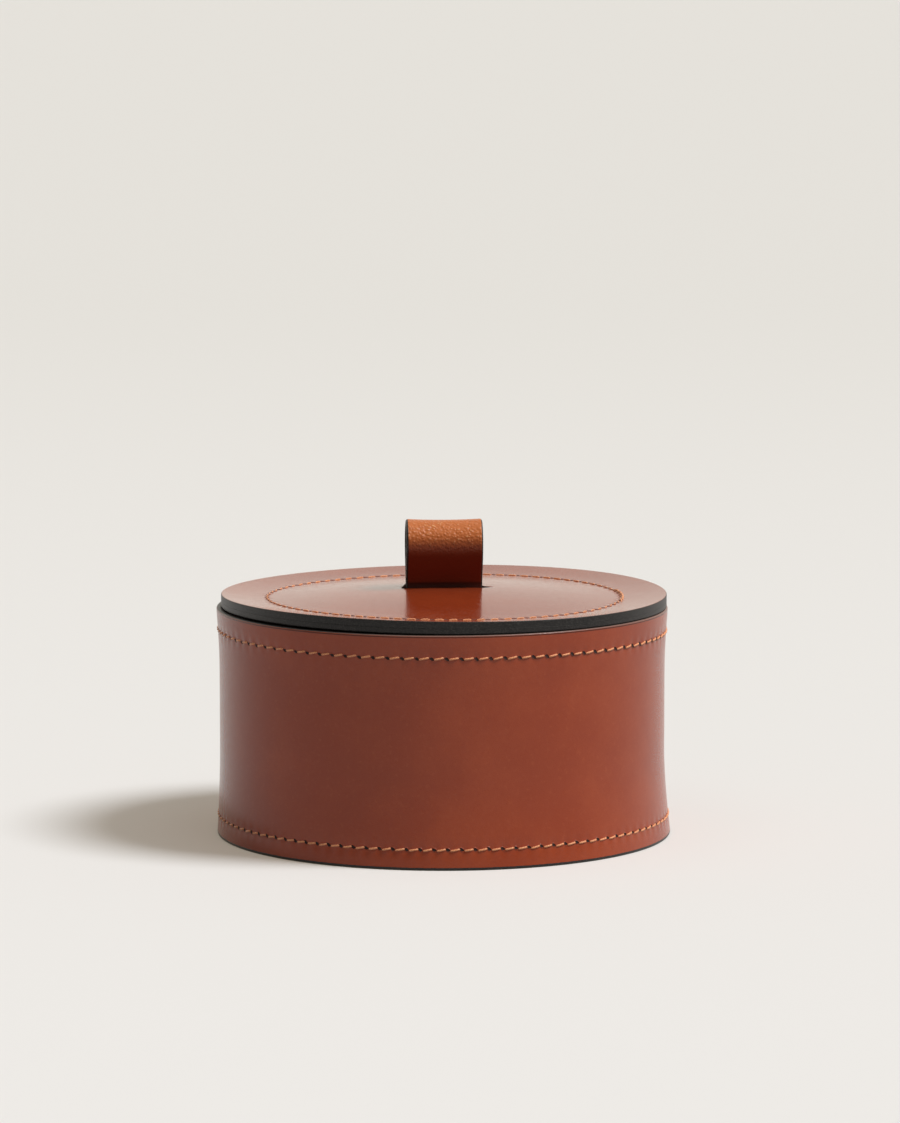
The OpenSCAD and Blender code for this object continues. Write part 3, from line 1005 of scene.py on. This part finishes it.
def makeSlitShape():  # a raised lip round a dark disc, painted shade for the slit's hole
    rings = [(stitch["lip"], -0.04), (stitch["lip"] * 0.45, stitch["lipHeight"]), (0.05, stitch["lipHeight"] * 0.9),
             (0.0, 0.015)]
    sides = 12
    verts, faces = [], []
    for grow, height in rings:
        for k in range(sides):
            a = math.tau * k / sides
            x = (stitch["slitLength"] / 2 + grow) * math.cos(a)
            y = (stitch["slitWidth"] / 2 * abs(math.sin(a)) ** 0.3 + grow) * math.sin(a)
            verts.append((x * mm, y * mm, height * mm))
    for i in range(len(rings) - 1):
        for k in range(sides):
            a, b = i * sides + k, i * sides + (k + 1) % sides
            faces.append((a, b, b + sides, a + sides))
    last = (len(rings) - 1) * sides
    faces.append(tuple(last + k for k in range(sides)))
    mesh = bpy.data.meshes.new("slitShape")
    mesh.from_pydata(verts, [], faces)
    mesh.materials.append(bodyLeather)
    mesh.materials.append(slitDark)
    # the disc just above the surface is near-black: painted shade for the inside of the hole
    for face in mesh.polygons:
        face.material_index = 1 if face.index >= sides * 2 else 0
    made = bpy.data.objects.new("slitShape", mesh)
    scene.collection.objects.link(made)
    return made


stitchTree = makeStitchTree()
slitTree = makeSlitTree()
slitShape = makeSlitShape()


def ringPath(radius, height, centre=0.0, start=0.0, end=360.0, tilt=0.0):
    whole = end - start > 359.9
    steps = 720 if whole else max(8, int(end - start))
    angles = [math.radians(start + (end - start) * k / steps) for k in range(steps if whole else steps + 1)]
    return [((centre + radius * math.cos(a)) * mm, radius * math.sin(a) * mm, (height - tilt * math.cos(a)) * mm)
            for a in angles], whole


def sewSeam(name, paths, count, settings, leather, body, nodes=(), thread=None, slits=True):
    made = []
    for kind, tree in (("Stitches", stitchTree), ("Slits", slitTree)):
        if kind == "Slits" and not slits:
            continue
        rows = []
        for number, (points, closed) in enumerate(paths):
            inputs = {
                "Points": count * 2 if closed else count * 2 + 1, "Centre": settings.get("centre", 0.0) * mm,
                "Through": settings.get("through", 0.0) * mm, "Face Up": settings.get("faceUp", 0.0),
                "Warp": settings.get("warp", 0.0) * mm, "Seed": 11 + number * 5 + count,
            }
            if kind == "Stitches":
                inputs.update({
                    "Material": threadMaterial, "Thread": (thread or stitch["thread"]) * mm,
                    "Length": settings.get("length", stitch["length"]) * mm, "Slope": math.radians(stitch["slope"]),
                    "Crest": settings.get("crest", stitch["crest"]) * mm, "Sink": stitch["sink"] * mm,
                })
            else:
                inputs.update({"Material": leather, "Slit": slitShape,
                               "Slit Angle": math.radians(stitch["slitAngle"])})
            rows.append(bake(polyline("seamPath", points, closed), name + kind, tree, inputs))
        piece = rows[0]
        if len(rows) > 1:
            with bpy.context.temp_override(active_object=piece, selected_editable_objects=rows):
                bpy.ops.object.join()
        piece.name = name + kind
        made.append(piece)
    finishPiece(made[0], body, "waxed_thread", *nodes)
    if slits:
        finishPiece(made[1], body, "bridle_leather")


rimSeam = wall["height"] - seams["rim"]["inset"]
footSeam = seams["foot"]["inset"]
insideRim = wall["thickness"] + wall["glue"] + wall["bandThickness"]
insideFoot = wall["thickness"] + wall["glue"] + 2.6
slitSink = 0.17  # how far the leather is drawn in where a slit lies
footShift = wall["footLean"] * footShare(footSeam)
sewSeam("rim", [ringPath(wallRadius(rimSeam) - slitSink, rimSeam, tilt=seams["rim"]["tilt"])],
        seams["rim"]["count"], {"through": insideRim - slitSink}, bodyLeather, "box", ["rim_stitching"])
sewSeam("foot", [ringPath(wallRadius(footSeam) - slitSink, footSeam, footShift)], seams["foot"]["count"],
        {"through": insideFoot - slitSink, "centre": footShift, "length": 3.1}, bodyLeather, "box",
        ["foot_stitching"])


def uprightPath(x, low, high):
    heights = [low + (high - low) * k / 40 for k in range(41)]
    return [(x * mm, math.sqrt(wallRadius(z) ** 2 - x * x) * mm, z * mm) for z in heights], False


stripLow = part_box("seam_strip")[0].z / mm
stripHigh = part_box("seam_strip")[1].z / mm
sewSeam("back", [uprightPath(x, stripLow + 3.3, stripHigh - 3.3) for x in (-5, 5)], 8,
        {"through": wall["thickness"] + wall["glue"] + 1.2}, bodyLeather, "box", ["back_stitching"])

lidSeam = seams["lid"]["radius"]
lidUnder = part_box("lid_locator")[0].z / mm
seamTop = lidSurface(lidSeam) - 0.12
seamWarp = lid["warp"] * (lidSeam / wall["waist"]) ** 2
sewSeam("lid", [ringPath(lidSeam, seamTop, lid["centre"])], seams["lid"]["count"],
        {"through": seamTop - lidUnder, "faceUp": 1.0, "centre": lid["centre"], "warp": seamWarp, "crest": 0.12},
        lidLeather, "lid", ["lid_stitching"], thread=0.50)
sewSeam("lidTack", [ringPath(lidSeam + 0.45, seamTop + 0.08, lid["centre"], -14, 12)], 6,
        {"faceUp": 1.0, "centre": lid["centre"], "crest": 0.30, "length": 4.2, "warp": seamWarp}, lidLeather, "lid",
        thread=0.62, slits=False)
bpy.data.objects.remove(slitShape)


# The pieces that keep their CAD shape

fleshMaterial = makeFlesh("fleshSide", fleshLook)
suedeMaterial = makeFlesh("suedeLining", {"base": shade(150, 108, 76), "deep": shade(116, 78, 50), "fibre": 0.5,
                                          "depth": 0.08})
for node, material in (("seam_strip", fleshMaterial), ("base_lining", suedeMaterial),
                       ("lid_locator", backingLeather)):
    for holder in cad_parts[node].material_slots:
        holder.material = material
print("dressed the carried-over pieces")


# Floor, lights and surroundings

studio = {
    "floorNear": shade(207, 209, 212),
    "floorFar": shade(196, 198, 199),
    "floorGlow": (0.150, 0.122, 0.083, 1),  # warm light in the shadow, for what looks at the floor alone
    "skyline": shade(227, 224, 217),
    "floorBounce": 0.66,  # the share of its colour that the floor throws back at the box
    "floorSize": 40.0,  # metres
    "keySide": 75.0,  # degrees to the right of the camera
    "keyHeight": 54.0,
    "keyStrength": 3.0,
    "keySize": 20.0,
    "topStrength": 0.58,
    "topSize": 70.0,
    "ambient": 0.18,
    "mirrorBack": 0.97,
    "mirrorFront": 0.24,
}


def makeFloor():
    size = studio["floorSize"]
    mesh = bpy.data.meshes.new("floor")
    mesh.from_pydata([(-size, -size, 0), (size, -size, 0), (size, size, 0), (-size, size, 0)], [], [(0, 1, 2, 3)])
    floor = bpy.data.objects.new("floor", mesh)
    scene.collection.objects.link(floor)
    material, tree, output, place = newMaterial("paleFloor")
    y = Wire(tree, addNode(tree, "ShaderNodeSeparateXYZ", {0: place}).outputs[1])
    colour = blend(tree, y.step(-0.8, 2.6), studio["floorNear"], studio["floorFar"])
    paper = noise(tree, place, 1.2, 3)
    colour = blend(tree, paper * 0.03, colour, shade(205, 200, 192))
    rays = addNode(tree, "ShaderNodeLightPath").outputs
    seen = Wire(tree, rays["Is Camera Ray"]).maths("MAXIMUM", rays["Is Glossy Ray"])
    seen = seen.maths("MAXIMUM", rays["Is Transmission Ray"])
    level = studio["floorBounce"]
    bounced = blend(tree, 1.0, colour, (level, level, level, 1), "MULTIPLY")
    colour = blend(tree, seen, bounced, colour)
    shader = addNode(tree, "ShaderNodeBsdfPrincipled", {
        "Base Color": colour, "Roughness": 0.9, "Emission Color": studio["floorGlow"], "Emission Strength": seen,
    })
    shader.inputs["Specular IOR Level"].default_value = 0.1
    tree.links.new(shader.outputs[0], output.inputs[0])
    mesh.materials.append(material)


def makeSun(name, side, height, strength, size, colour=(1, 1, 1)):
    data = bpy.data.lights.new(name, "SUN")
    data.energy = strength
    data.angle = math.radians(size)
    data.color = colour
    made = bpy.data.objects.new(name, data)
    a, e = math.radians(side), math.radians(height)
    towards = Vector((math.sin(a) * math.cos(e), -math.cos(a) * math.cos(e), math.sin(e)))
    made.rotation_euler = towards.to_track_quat("Z", "Y").to_euler()
    scene.collection.objects.link(made)


def makeWorld():
    world = bpy.data.worlds.new("studio")
    world.use_nodes = True
    scene.world = world
    tree = world.node_tree
    tree.nodes.clear()
    output = tree.nodes.new("ShaderNodeOutputWorld")
    rays = addNode(tree, "ShaderNodeLightPath").outputs
    direction = addNode(tree, "ShaderNodeTexCoord").outputs["Generated"]
    y = Wire(tree, addNode(tree, "ShaderNodeSeparateXYZ", {0: direction}).outputs[1])
    pale = studio["skyline"]
    mirror = y.step(-0.4, 0.4).between(studio["mirrorFront"], studio["mirrorBack"])
    seen = addNode(tree, "ShaderNodeBackground", {"Color": pale, "Strength": 1.0})
    mirrored = addNode(tree, "ShaderNodeBackground", {"Color": (1.0, 0.94, 0.84, 1), "Strength": mirror})
    ambient = addNode(tree, "ShaderNodeBackground", {"Color": (1.0, 0.94, 0.86, 1), "Strength": studio["ambient"]})
    glossy = addNode(tree, "ShaderNodeMixShader", {0: rays["Is Glossy Ray"], 1: ambient.outputs[0],
                                                   2: mirrored.outputs[0]})
    final = addNode(tree, "ShaderNodeMixShader", {0: rays["Is Camera Ray"], 1: glossy.outputs[0], 2: seen.outputs[0]})
    tree.links.new(final.outputs[0], output.inputs[0])


makeFloor()
makeSun("keyLight", studio["keySide"] - 3, studio["keyHeight"], studio["keyStrength"], studio["keySize"])
makeSun("topLight", 0, 78, studio["topStrength"], studio["topSize"], (1.0, 0.95, 0.88))
makeWorld()
scene.view_settings.view_transform = "Standard"
print("lit the scene")
